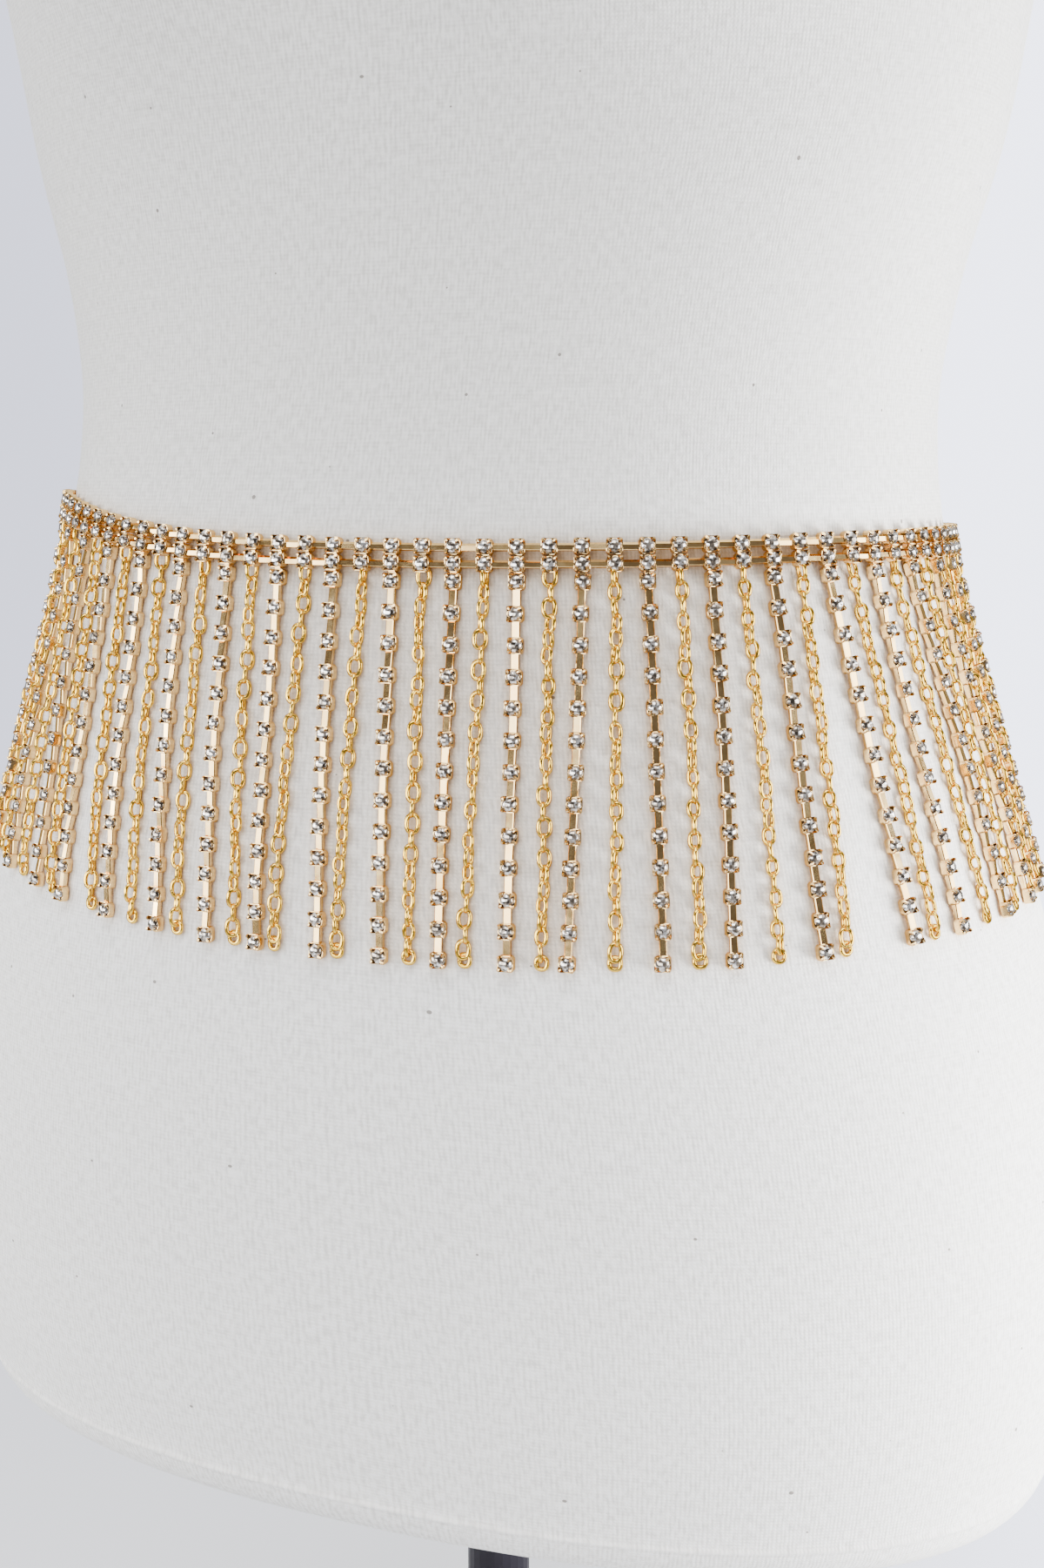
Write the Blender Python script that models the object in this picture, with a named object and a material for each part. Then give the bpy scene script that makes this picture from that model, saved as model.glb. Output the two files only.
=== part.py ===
"""Rhinestone fringe belt on a white limbless dress form with a short pole and a round base.

Metres, +Z up. The form faces -Y, its own right-hand side as seen from the front is +X, and the origin
is on the floor at the middle of the base plate's underside.

The form is a loft through the sections in SECTIONS, whose heights are measured up from its underside.
The belt is two open rings of square cups round the waist, one over the other, with their ends in a
plain clasp at centre back. A strand hangs from each cup of the lower row and lies against the hips.
"""
import math

import bmesh
import bpy
from mathutils import Vector

# Stand
BASE_RADIUS = 0.185
BASE_THICKNESS = 0.007
BASE_EDGE = 0.0015
POLE_RADIUS = 0.0095
ROUND_SIDES = 48
POLE_SIDES = 24
GAP = 0.0003
FORM_UNDERSIDE = 0.205

# Dress form: columns of SECTIONS, all but the last in metres
HEIGHT, HALF_WIDTH, FRONT, BACK, ROUNDNESS = range(5)
SECTIONS = (
    (0.0140, 0.1630, 0.0950, 0.1300, 2.35),
    (0.0350, 0.1665, 0.0995, 0.1370, 2.34),
    (0.0600, 0.1680, 0.1030, 0.1420, 2.32),
    (0.0900, 0.1665, 0.1065, 0.1440, 2.30),
    (0.1200, 0.1620, 0.1085, 0.1420, 2.26),
    (0.1500, 0.1550, 0.1085, 0.1360, 2.22),
    (0.1760, 0.1475, 0.1070, 0.1285, 2.20),
    (0.2010, 0.1400, 0.1040, 0.1210, 2.18),
    (0.2260, 0.1325, 0.1000, 0.1145, 2.17),
    (0.2450, 0.1270, 0.0970, 0.1100, 2.16),
    (0.2595, 0.1236, 0.0945, 0.1075, 2.16),
    (0.2805, 0.1212, 0.0885, 0.1070, 2.15),
    (0.3000, 0.1215, 0.0835, 0.1090, 2.15),
    (0.3275, 0.1265, 0.0795, 0.1140, 2.15),
    (0.3595, 0.1355, 0.0785, 0.1205, 2.16),
    (0.3945, 0.1415, 0.0810, 0.1255, 2.18),
    (0.4250, 0.1460, 0.0850, 0.1280, 2.22),
    (0.4550, 0.1490, 0.0880, 0.1285, 2.25),
    (0.4900, 0.1510, 0.0855, 0.1275, 2.28),
    (0.5200, 0.1535, 0.0790, 0.1250, 2.30),
    (0.5500, 0.1590, 0.0700, 0.1200, 2.30),
    (0.5800, 0.1650, 0.0590, 0.1120, 2.28),
    (0.6030, 0.1660, 0.0500, 0.1040, 2.25),
    (0.6180, 0.1530, 0.0440, 0.0960, 2.20),
    (0.6310, 0.1260, 0.0390, 0.0875, 2.12),
    (0.6430, 0.0950, 0.0360, 0.0785, 2.05),
    (0.6550, 0.0720, 0.0340, 0.0705, 2.00),
    (0.6690, 0.0600, 0.0340, 0.0625, 2.00),
    (0.6900, 0.0560, 0.0360, 0.0585, 2.00),
    (0.7150, 0.0560, 0.0390, 0.0560, 2.00),
)
RIM_RADIUS = 0.014
RIM_STEPS = 3
NECK_EDGE = 0.003
BUST_SIDE = 0.068
BUST_HEIGHT = 0.453
BUST_DEPTH = 0.032
BUST_SPREAD = 0.052
ARMHOLE_X = 0.158
ARMHOLE_LOW = 0.50
FORM_COLUMNS = 40
ROW_STEP_BODY = 0.025
ROW_STEP_HIP = 0.016
ROW_STEP_SHOULDER = 0.0115
HIP_ROWS = (0.140, 0.305)
SHOULDER_ROWS = (0.535, 0.675)

# Belt rows: cups on one pitch, with the rest of the way round left to the clasp
CUP_COUNT = 95
CUP_PITCH = 0.0075
CUP_WIDTH = 0.0037
CUP_HEIGHT = 0.0036
CUP_DEPTH = 0.0022
CUP_SHOULDER = 0.0002
COLUMNS_A_CUP = 4
BAR_HEIGHT = 0.0014
BAR_DEPTH = 0.0008
ROW_PITCH = CUP_HEIGHT + GAP
BELT_HEIGHT = 0.2566
BELT_SIDE_RISE = 0.0019
BELT_ROLL = -0.0002
HUMP_HEIGHT = 0.0097
HUMP_ANGLE = -1.15
HUMP_SPREAD = 0.63
HUMP_EXTRA = 0.0030
MIDDLE_CUP_SHIFT = -0.0020
BELT_OFFSET = 0.0008

# Fringe
STRAND_LENGTH = 0.0920
STRAND_STEPS = 24
STEPS_A_PIECE = 6
CUP_STRAND_WIDTH = 0.0034
CUP_STRAND_DEPTH = 0.0020
LINK_STRAND_WIDTH = 0.0028
LINK_STRAND_DEPTH = 0.0016

# How strands lean: a sweep towards +X round one cup, a small even sway, and single strands that
# have drifted towards a neighbour
SWEEP_LEAN = 0.105
SWEEP_CUP = 66
SWEEP_CUPS = 6.5
SWAY = 0.010
SWAY_RATE = 2.2
UNEVEN_LEANS = {46: -0.050, 48: -0.020, 52: -0.035, 55: -0.040, 57: 0.020, 62: -0.030, 63: 0.040,
                12: 0.040, 21: -0.035, 30: 0.030, 37: -0.030, 73: 0.035, 80: -0.040, 88: 0.030}

# Clasp at centre back
END_BAR_WIDTH = 0.0016
END_BAR_HEIGHT = 2 * CUP_HEIGHT + GAP
END_BAR_DEPTH = 0.0018
TONGUE_WIDTH = 0.0052
TONGUE_HEIGHT = 0.0044
TONGUE_DEPTH = 0.0012
CLASP_BOX_HEIGHT = 0.0066
CLASP_BOX_DEPTH = 0.0026

# Steps for measuring round the waist, and for reading the surface's direction
RING_STEPS = 720
PROBE = 0.001


def signed_power(value, power):
    return math.copysign(abs(value) ** power, value)


def section_slope(column, row):
    """How fast a column of SECTIONS changes with height at one of its rows."""
    low = SECTIONS[max(row - 1, 0)]
    high = SECTIONS[min(row + 1, len(SECTIONS) - 1)]
    return (high[column] - low[column]) / (high[HEIGHT] - low[HEIGHT])


def section_value(column, height):
    """A column of SECTIONS at a height, on a smooth curve through the rows."""
    row = sum(section[HEIGHT] <= height for section in SECTIONS) - 1
    row = min(max(row, 0), len(SECTIONS) - 2)
    below, above = SECTIONS[row], SECTIONS[row + 1]
    span = above[HEIGHT] - below[HEIGHT]
    t = (height - below[HEIGHT]) / span
    rise = 3 * t ** 2 - 2 * t ** 3
    lead_in = (t ** 3 - 2 * t ** 2 + t) * span
    lead_out = (t ** 3 - t ** 2) * span
    return ((1 - rise) * below[column] + rise * above[column]
            + lead_in * section_slope(column, row) + lead_out * section_slope(column, row + 1))


def form_point(angle, height, inset=0.0):
    """A point of the form's surface. The angle runs from the centre front towards +X."""
    power = 2 / section_value(ROUNDNESS, height)
    across, forward = math.sin(angle), math.cos(angle)
    depth = section_value(FRONT if forward > 0 else BACK, height) - inset
    x = (section_value(HALF_WIDTH, height) - inset) * signed_power(across, power)
    y = -depth * signed_power(forward, power)
    if forward > 0:
        sideways = (abs(x) - BUST_SIDE) / BUST_SPREAD
        upwards = (height - BUST_HEIGHT) / BUST_SPREAD
        y -= BUST_DEPTH * forward * math.exp(-sideways ** 2 - upwards ** 2)
    if height > ARMHOLE_LOW:
        x = max(-ARMHOLE_X, min(ARMHOLE_X, x))
    return Vector((x, y, FORM_UNDERSIDE + height))


def form_normal(angle, height):
    """The outward direction at a point of the form's surface."""
    around = form_point(angle + PROBE, height) - form_point(angle - PROBE, height)
    upward = form_point(angle, height + PROBE) - form_point(angle, height - PROBE)
    return around.cross(upward).normalized()


def hump_share(angle):
    """How near an angle is to the top of the hump over the -X hip, from 0 to 1."""
    return math.exp(-((angle - HUMP_ANGLE) / HUMP_SPREAD) ** 2)


def belt_height(angle):
    """The upper row's height on the form: lower at front and back, with the hump."""
    across = math.sin(angle)
    return BELT_HEIGHT + BELT_SIDE_RISE * across ** 2 - BELT_ROLL * across + HUMP_HEIGHT * hump_share(angle)


def ring_angles():
    """Evenly spaced angles round the waist with the upper row's length from the centre front to each."""
    angles = [math.pi * (2 * step / RING_STEPS - 1) for step in range(RING_STEPS + 1)]
    points = [form_point(angle, belt_height(angle))
              + form_normal(angle, belt_height(angle)) * (BELT_OFFSET + CUP_DEPTH / 2) for angle in angles]
    lengths = [0.0]
    for before, after in zip(points, points[1:]):
        lengths.append(lengths[-1] + (after - before).length)
    front = lengths[RING_STEPS // 2]
    return angles, [length - front for length in lengths]


RING_ANGLES, RING_LENGTHS = ring_angles()
PERIMETER = RING_LENGTHS[-1] - RING_LENGTHS[0]


def angle_at(length):
    """The angle round the form at a length along the belt from the centre front."""
    if length > RING_LENGTHS[-1]:
        length -= PERIMETER
    low, high = 0, RING_STEPS
    while high - low > 1:
        middle = (low + high) // 2
        if RING_LENGTHS[middle] <= length:
            low = middle
        else:
            high = middle
    share = (length - RING_LENGTHS[low]) / (RING_LENGTHS[high] - RING_LENGTHS[low])
    return RING_ANGLES[low] + share * (RING_ANGLES[high] - RING_ANGLES[low])


def cup_length(cup):
    """Where a cup's centre lies along the belt, counted from the centre front."""
    return (cup - (CUP_COUNT - 1) / 2) * CUP_PITCH + MIDDLE_CUP_SHIFT


def belt_frame(length, drop=0.0):
    """A point on the belt's inner face, with the outward and upward directions there."""
    angle = angle_at(length)
    height = belt_height(angle) - drop
    outward = form_normal(angle, height)
    upward = outward.cross(Vector((0, 0, 1)).cross(outward)).normalized()
    return form_point(angle, height) + outward * BELT_OFFSET, outward, upward


def is_link_strand(cup):
    return cup % 2 == 0


def strand_lean(cup):
    """Sideways run of a strand for each unit of its length, towards +X where positive."""
    sweep = SWEEP_LEAN * math.exp(-((cup - SWEEP_CUP) / SWEEP_CUPS) ** 2)
    sway = SWAY * math.sin(SWAY_RATE * cup)
    return sweep + sway + UNEVEN_LEANS.get(cup, 0.0)


def strand_length(cup):
    """The strands that hang from the hump are a little longer."""
    return STRAND_LENGTH + HUMP_EXTRA * hump_share(angle_at(cup_length(cup)))


def strand_path(cup):
    """Points of a strand that hangs down the form's surface from its cup, each with its outward direction."""
    angle = angle_at(cup_length(cup))
    height = belt_height(angle) - ROW_PITCH - CUP_HEIGHT / 2
    step = strand_length(cup) / STRAND_STEPS
    up = Vector((0, 0, 1))
    path = []
    for _ in range(STRAND_STEPS + 1):
        point, outward = form_point(angle, height), form_normal(angle, height)
        path.append((point, outward))
        downhill = (outward * outward.z - up).normalized()
        sideways = up.cross(outward).normalized()
        move = (downhill + sideways * strand_lean(cup)).normalized() * step
        around = (form_point(angle + PROBE, height) - point) / PROBE
        lower = (form_point(angle, height - PROBE) - point) / PROBE
        angle += (move + lower * move.z).dot(around) / around.length_squared
        height += move.z
    return path


def material(name, colour, roughness, metallic=0.0):
    """A plain Principled material."""
    made = bpy.data.materials.new(name)
    made.use_nodes = True
    shader = made.node_tree.nodes["Principled BSDF"]
    shader.inputs["Base Color"].default_value = (*colour, 1)
    shader.inputs["Roughness"].default_value = roughness
    shader.inputs["Metallic"].default_value = metallic
    return made


def add_object(name, mesh_bm, surface, smooth_angle=None):
    """Turn a bmesh into a named object with one material, facing out."""
    bmesh.ops.recalc_face_normals(mesh_bm, faces=mesh_bm.faces)
    mesh = bpy.data.meshes.new(name)
    mesh_bm.to_mesh(mesh)
    mesh_bm.free()
    mesh.materials.append(surface)
    if smooth_angle is not None:
        mesh.shade_smooth()
        mesh.set_sharp_from_angle(angle=smooth_angle)
    made = bpy.data.objects.new(name, mesh)
    bpy.context.scene.collection.objects.link(made)
    return made


def join_loops(mesh_bm, lower, upper):
    """Quads between two loops of vertices of the same count."""
    count = len(lower)
    for index in range(count):
        after = (index + 1) % count
        mesh_bm.faces.new((lower[index], lower[after], upper[after], upper[index]))


def row_heights():
    """Heights of the form's loops: closest round the belt and the shoulders."""
    heights = [SECTIONS[0][HEIGHT]]
    top = SECTIONS[-1][HEIGHT] - NECK_EDGE
    while heights[-1] < top - ROW_STEP_SHOULDER:
        here = heights[-1]
        step = ROW_STEP_BODY
        if HIP_ROWS[0] <= here < HIP_ROWS[1]:
            step = ROW_STEP_HIP
        if SHOULDER_ROWS[0] <= here < SHOULDER_ROWS[1]:
            step = ROW_STEP_SHOULDER
        heights.append(min(here + step, top))
    return heights


def build_form(surface):
    """The dress form: rounded rim at the underside, body loops, and a small edge round the neck's top."""
    loops = []
    for step in range(RIM_STEPS):
        turn = math.pi / 2 * step / RIM_STEPS
        loops.append((RIM_RADIUS * (1 - math.sin(turn)), RIM_RADIUS * (1 - math.cos(turn))))
    loops += [(0.0, height) for height in row_heights()]
    loops.append((NECK_EDGE, SECTIONS[-1][HEIGHT]))
    mesh_bm = bmesh.new()
    rings = []
    for inset, height in loops:
        shape_height = max(height, SECTIONS[0][HEIGHT])
        ring = []
        for column in range(FORM_COLUMNS):
            point = form_point(2 * math.pi * column / FORM_COLUMNS, shape_height, inset)
            point.z = FORM_UNDERSIDE + height
            ring.append(mesh_bm.verts.new(point))
        rings.append(ring)
    for lower, upper in zip(rings, rings[1:]):
        join_loops(mesh_bm, lower, upper)
    mesh_bm.faces.new(rings[0][::-1])
    mesh_bm.faces.new(rings[-1])
    return add_object("dress_form", mesh_bm, surface, math.radians(40))


def build_pole(surface):
    """The pole, from just above the base plate to just under the form."""
    bottom = BASE_THICKNESS + GAP
    top = FORM_UNDERSIDE - GAP
    mesh_bm = bmesh.new()
    bmesh.ops.create_cone(mesh_bm, cap_ends=True, segments=POLE_SIDES, radius1=POLE_RADIUS,
                          radius2=POLE_RADIUS, depth=top - bottom)
    bmesh.ops.translate(mesh_bm, verts=mesh_bm.verts, vec=(0, 0, (top + bottom) / 2))
    return add_object("pole", mesh_bm, surface, math.radians(40))


def build_base(surface):
    """The round base plate with a bevelled upper edge."""
    mesh_bm = bmesh.new()
    profile = ((BASE_RADIUS, 0.0), (BASE_RADIUS, BASE_THICKNESS - BASE_EDGE),
               (BASE_RADIUS - BASE_EDGE, BASE_THICKNESS))
    rings = []
    for radius, height in profile:
        turns = [2 * math.pi * side / ROUND_SIDES for side in range(ROUND_SIDES)]
        rings.append([mesh_bm.verts.new((radius * math.cos(turn), radius * math.sin(turn), height))
                      for turn in turns])
    for lower, upper in zip(rings, rings[1:]):
        join_loops(mesh_bm, lower, upper)
    mesh_bm.faces.new(rings[0][::-1])
    mesh_bm.faces.new(rings[-1])
    return add_object("base_plate", mesh_bm, surface, math.radians(30))


def cup_columns():
    """Lengths along a row with the wall's height and depth at each: a bar, then a raised cup."""
    half = CUP_WIDTH / 2
    columns = []
    for cup in range(CUP_COUNT):
        centre = cup_length(cup)
        if cup > 0:
            columns.append((centre - half - CUP_SHOULDER, BAR_HEIGHT, BAR_DEPTH))
        columns.append((centre - half, CUP_HEIGHT, CUP_DEPTH))
        columns.append((centre + half, CUP_HEIGHT, CUP_DEPTH))
        if cup < CUP_COUNT - 1:
            columns.append((centre + half + CUP_SHOULDER, BAR_HEIGHT, BAR_DEPTH))
    return columns


def wall_loop(mesh_bm, length, drop, height, depth):
    """Four vertices round the belt's wall at one length: inner and outer edge, bottom and top."""
    inner, outward, upward = belt_frame(length, drop)
    half = upward * height / 2
    corners = (inner - half, inner - half + outward * depth, inner + half + outward * depth, inner + half)
    return [mesh_bm.verts.new(corner) for corner in corners]


def close_wall(mesh_bm, loops):
    """Quads along a run of four-vertex loops, and a face across each end."""
    for before, after in zip(loops, loops[1:]):
        join_loops(mesh_bm, before, after)
    mesh_bm.faces.new(loops[0][::-1])
    mesh_bm.faces.new(loops[-1])


def build_row(mesh_bm, drop):
    """An open ring of cups and bars. Gives its loops of four vertices."""
    loops = [wall_loop(mesh_bm, length, drop, height, depth) for length, height, depth in cup_columns()]
    close_wall(mesh_bm, loops)
    return loops


def build_strand(mesh_bm, cup, root):
    """One four-sided strand, grown from the underside of its cup."""
    width, depth = CUP_STRAND_WIDTH, CUP_STRAND_DEPTH
    if is_link_strand(cup):
        width, depth = LINK_STRAND_WIDTH, LINK_STRAND_DEPTH
    path = strand_path(cup)[::STEPS_A_PIECE]
    loop = root
    for (above, _), (point, outward) in zip(path, path[1:]):
        sideways = (above - point).cross(outward).normalized() * width / 2
        inner = point + outward * BELT_OFFSET
        outer = inner + outward * depth
        corners = (inner - sideways, inner + sideways, outer + sideways, outer - sideways)
        following = [mesh_bm.verts.new(corner) for corner in corners]
        join_loops(mesh_bm, loop, following)
        loop = following
    mesh_bm.faces.new(loop)


def build_top_row(surface):
    mesh_bm = bmesh.new()
    build_row(mesh_bm, 0.0)
    return add_object("band_top_row", mesh_bm, surface)


def build_fringe(surface):
    """The lower row, with a strand from the underside of each of its cups."""
    mesh_bm = bmesh.new()
    loops = build_row(mesh_bm, ROW_PITCH)
    for cup in range(CUP_COUNT):
        left, right = loops[COLUMNS_A_CUP * cup], loops[COLUMNS_A_CUP * cup + 1]
        root = [left[0], right[0], right[1], left[1]]
        underside = [face for face in left[0].link_faces if set(face.verts) == set(root)]
        bmesh.ops.delete(mesh_bm, geom=underside, context="FACES_ONLY")
        build_strand(mesh_bm, cup, root)
    return add_object("band_fringe", mesh_bm, surface)


def build_clasp(surface):
    """End plates on both ends of the rows, and between them a tongue that is shut into a flat box."""
    start = cup_length(CUP_COUNT - 1) + CUP_WIDTH / 2
    end = PERIMETER + cup_length(0) - CUP_WIDTH / 2
    box_width = end - start - 2 * END_BAR_WIDTH - TONGUE_WIDTH - 5 * GAP
    pieces = (
        ("end_bar_right", END_BAR_WIDTH, END_BAR_HEIGHT, END_BAR_DEPTH),
        ("clasp_tongue", TONGUE_WIDTH, TONGUE_HEIGHT, TONGUE_DEPTH),
        ("clasp_box", box_width, CLASP_BOX_HEIGHT, CLASP_BOX_DEPTH),
        ("end_bar_left", END_BAR_WIDTH, END_BAR_HEIGHT, END_BAR_DEPTH),
    )
    for name, width, height, depth in pieces:
        start += GAP
        mesh_bm = bmesh.new()
        loops = [wall_loop(mesh_bm, start + share * width, ROW_PITCH / 2, height, depth)
                 for share in (0.0, 0.5, 1.0)]
        close_wall(mesh_bm, loops)
        add_object(name, mesh_bm, surface)
        start += width


def main():
    for old in list(bpy.data.objects):
        bpy.data.objects.remove(old)
    cover = material("form_cover", (0.80, 0.79, 0.77), 0.8)
    black = material("stand_black", (0.02, 0.02, 0.025), 0.35)
    gold = material("gold", (0.85, 0.62, 0.32), 0.25, 1.0)
    build_base(black)
    build_pole(black)
    build_form(cover)
    build_top_row(gold)
    build_fringe(gold)
    build_clasp(gold)


main()
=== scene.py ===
"""Looks of a rhinestone fringe belt on its white dress form. Metres, +Z up, the form's front faces -Y.

The form, the belt's rows, its strands and its clasp are made here at their full detail, on the same
surface and from the same named sizes as the plain solids that they stand for.
"""

import math
import random

import bpy
import numpy as np
from mathutils import Matrix, Vector


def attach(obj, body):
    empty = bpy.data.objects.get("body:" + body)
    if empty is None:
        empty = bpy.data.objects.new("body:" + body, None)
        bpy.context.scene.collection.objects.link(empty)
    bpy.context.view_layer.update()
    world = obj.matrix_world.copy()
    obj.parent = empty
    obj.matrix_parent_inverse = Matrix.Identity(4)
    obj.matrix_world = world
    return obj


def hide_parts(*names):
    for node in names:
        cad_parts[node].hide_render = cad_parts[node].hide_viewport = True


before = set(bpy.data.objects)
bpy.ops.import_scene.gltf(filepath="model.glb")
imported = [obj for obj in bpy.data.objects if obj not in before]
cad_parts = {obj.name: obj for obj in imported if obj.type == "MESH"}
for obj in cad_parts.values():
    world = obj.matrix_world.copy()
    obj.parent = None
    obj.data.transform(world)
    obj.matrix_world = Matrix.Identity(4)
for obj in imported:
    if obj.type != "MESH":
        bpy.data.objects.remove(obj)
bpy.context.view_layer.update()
chance = random.Random(7)

# Camera, found by setting the belt's cups against their places in the photograph
PHOTO_LONG_SIDE = 1802
SENSOR = 0.036
CAMERA_AZIMUTH = math.radians(21.4)
CAMERA_PITCH = math.radians(9.0)
CAMERA_SIDE = 0.0072
CAMERA_DISTANCE = 0.545
CAMERA_HEIGHT = 0.4772
CAMERA_NEAR = 0.01
FOCAL_PIXELS = 2195
RIGHTWARD = Vector((math.cos(CAMERA_AZIMUTH), math.sin(CAMERA_AZIMUTH), 0))
AHEAD = Vector((-math.sin(CAMERA_AZIMUTH), math.cos(CAMERA_AZIMUTH), 0))
WAIST = Vector((0, 0, 0.45))

# Form: cross-sections from the underside up, with the height above it, the half width, the depth
# in front of and behind the middle, and the roundness (2 is an ellipse, more is squarer)
FORM_UNDERSIDE = 0.205
HEIGHT, HALF_WIDTH, FRONT, BACK, ROUNDNESS = range(5)
SECTIONS = (
    (0.0140, 0.1630, 0.0950, 0.1300, 2.35),
    (0.0350, 0.1665, 0.0995, 0.1370, 2.34),
    (0.0600, 0.1680, 0.1030, 0.1420, 2.32),
    (0.0900, 0.1665, 0.1065, 0.1440, 2.30),
    (0.1200, 0.1620, 0.1085, 0.1420, 2.26),
    (0.1500, 0.1550, 0.1085, 0.1360, 2.22),
    (0.1760, 0.1475, 0.1070, 0.1285, 2.20),
    (0.2010, 0.1400, 0.1040, 0.1210, 2.18),
    (0.2260, 0.1325, 0.1000, 0.1145, 2.17),
    (0.2450, 0.1270, 0.0970, 0.1100, 2.16),
    (0.2595, 0.1236, 0.0945, 0.1075, 2.16),
    (0.2805, 0.1212, 0.0885, 0.1070, 2.15),
    (0.3000, 0.1215, 0.0835, 0.1090, 2.15),
    (0.3275, 0.1265, 0.0795, 0.1140, 2.15),
    (0.3595, 0.1355, 0.0785, 0.1205, 2.16),
    (0.3945, 0.1415, 0.0810, 0.1255, 2.18),
    (0.4250, 0.1460, 0.0850, 0.1280, 2.22),
    (0.4550, 0.1490, 0.0880, 0.1285, 2.25),
    (0.4900, 0.1510, 0.0855, 0.1275, 2.28),
    (0.5200, 0.1535, 0.0790, 0.1250, 2.30),
    (0.5500, 0.1590, 0.0700, 0.1200, 2.30),
    (0.5800, 0.1650, 0.0590, 0.1120, 2.28),
    (0.6030, 0.1660, 0.0500, 0.1040, 2.25),
    (0.6180, 0.1530, 0.0440, 0.0960, 2.20),
    (0.6310, 0.1260, 0.0390, 0.0875, 2.12),
    (0.6430, 0.0950, 0.0360, 0.0785, 2.05),
    (0.6550, 0.0720, 0.0340, 0.0705, 2.00),
    (0.6690, 0.0600, 0.0340, 0.0625, 2.00),
    (0.6900, 0.0560, 0.0360, 0.0585, 2.00),
    (0.7150, 0.0560, 0.0390, 0.0560, 2.00),
)
RIM_RADIUS = 0.014
RIM_STEPS = 10
SEAM_HEIGHT = 0.0122
SEAM_WIDTH = 0.0014
SEAM_PROUD = 0.0005
SEAM_FALL = 2.2
SEAM_STEPS = 4
NECK_EDGE = 0.003
NECK_BEND = 0.3
BUST_SIDE = 0.068
BUST_HEIGHT = 0.453
BUST_DEPTH = 0.032
BUST_SPREAD = 0.052
ARMHOLE_X = 0.158
ARMHOLE_LOW = 0.50
FORM_COLUMNS = 176
FORM_ROW_STEP = 0.0042

# Belt rows
CUP_COUNT = 95
CUP_PITCH = 0.0075
CUP_WIDTH = 0.0037
CUP_HEIGHT = 0.0036
CUP_DEPTH = 0.0022
ROW_PITCH = 0.0039
BELT_HEIGHT = 0.2566
BELT_SIDE_RISE = 0.0019
BELT_ROLL = -0.0002
HUMP_HEIGHT = 0.0097
HUMP_ANGLE = -1.15
HUMP_SPREAD = 0.63
HUMP_EXTRA = 0.0030
MIDDLE_CUP_SHIFT = -0.0020
BELT_OFFSET = 0.0008

# Fringe
STRAND_LENGTH = 0.0920
STRAND_STEPS = 92
STRAND_OFFSET = 0.0004
FIRST_CUP_DROP = 0.0022
STRAND_CUPS = 13
SWEEP_LEAN = 0.105
SWEEP_CUP = 66
SWEEP_CUPS = 6.5
SWAY = 0.010
SWAY_RATE = 2.2
UNEVEN_LEANS = {46: -0.050, 48: -0.020, 52: -0.035, 55: -0.040, 57: 0.020, 62: -0.030, 63: 0.040,
                12: 0.040, 21: -0.035, 30: 0.030, 37: -0.030, 73: 0.035, 80: -0.040, 88: 0.030}

# One cup: a square tray with cut corners, high sides and a small bevel at its foot
TRAY_HALF = 0.00192
TRAY_WALL = 0.00016
TRAY_CORNER = 0.00055
TRAY_INNER_CORNER = 0.00045
TRAY_CORNER_SHARE = 0.45
TRAY_FOOT = 0.00012
TRAY_FOOT_TOP = 0.00015
TRAY_SIDE_TOP = 0.00175
TRAY_CORNER_TOP = 0.00215
TRAY_FLOOR = 0.00080

# Its four claws, bent over the stone: reach from the cup's middle, rise above the claw's root, and
# share of the full width
CLAW_WIDTH = 0.00080
CLAW_THICKNESS = 0.00040
CLAW_ROOT = 0.00150
CLAW_SIDES = 6
CLAW_PATH = (
    (0.00230, 0.00000, 1.00),
    (0.00233, 0.00050, 1.00),
    (0.00222, 0.00100, 0.95),
    (0.00188, 0.00128, 0.82),
    (0.00148, 0.00120, 0.55),
)

# Its round cut stone, and the painted reflection tones of its facets: how bright each facet's foil-backed
# mirror is painted, standing in for the light the real facets throw back
STONE_SIDES = 8
STONE_TABLE = 0.00092
STONE_DISH = 0.00008
STONE_TOP = 0.00280
STONE_CROWN_RADIUS = 0.00144
STONE_CROWN = 0.002368
STONE_RADIUS = 0.00180
STONE_GIRDLE = 0.00190
STONE_BASE_RADIUS = 0.001692
STONE_BASE = 0.00140
FACET_REFLECTION_TONES = (1.0, 0.85, 0.60, 0.45, 0.32, 0.18, 0.06)

# Flat bars between cups, and the short ones that strands hang by
BAR_WIDTH = 0.00180
BAR_DEPTH = 0.00120
BAR_OVERLAP = 0.0003
BAR_LIFT = 0.0002
ROW_BAR_LOW_BEVEL = 0.0001
ROW_BAR_HIGH_BEVEL = 0.0006
STRAND_BAR_BEVEL = 0.00018
HANGER_LENGTH = 0.0022
HANGER_BEVEL = 0.0002
HANGER_DROP = 0.0004
HANGER_LIFT = 0.0003

# Wire links: large and small by turns, and a round one at the end
LINK_WIRE = 0.00056
LINK_WIDTH = 0.0039
LINK_LENGTH = 0.0053
SMALL_LINK_WIDTH = 0.003432
SMALL_LINK_LENGTH = 0.00477
END_LINK_WIDTH = 0.003822
END_LINK_LENGTH = 0.003978
LINK_SQUARENESS = 0.85
LINK_SIDES = 6
LINK_STEPS = 16
LINK_PITCH = 0.00356
FIRST_LINK_DROP = 0.0010
LINK_LIFT = 0.0014
END_LINK_LIFT = 0.00084

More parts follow.
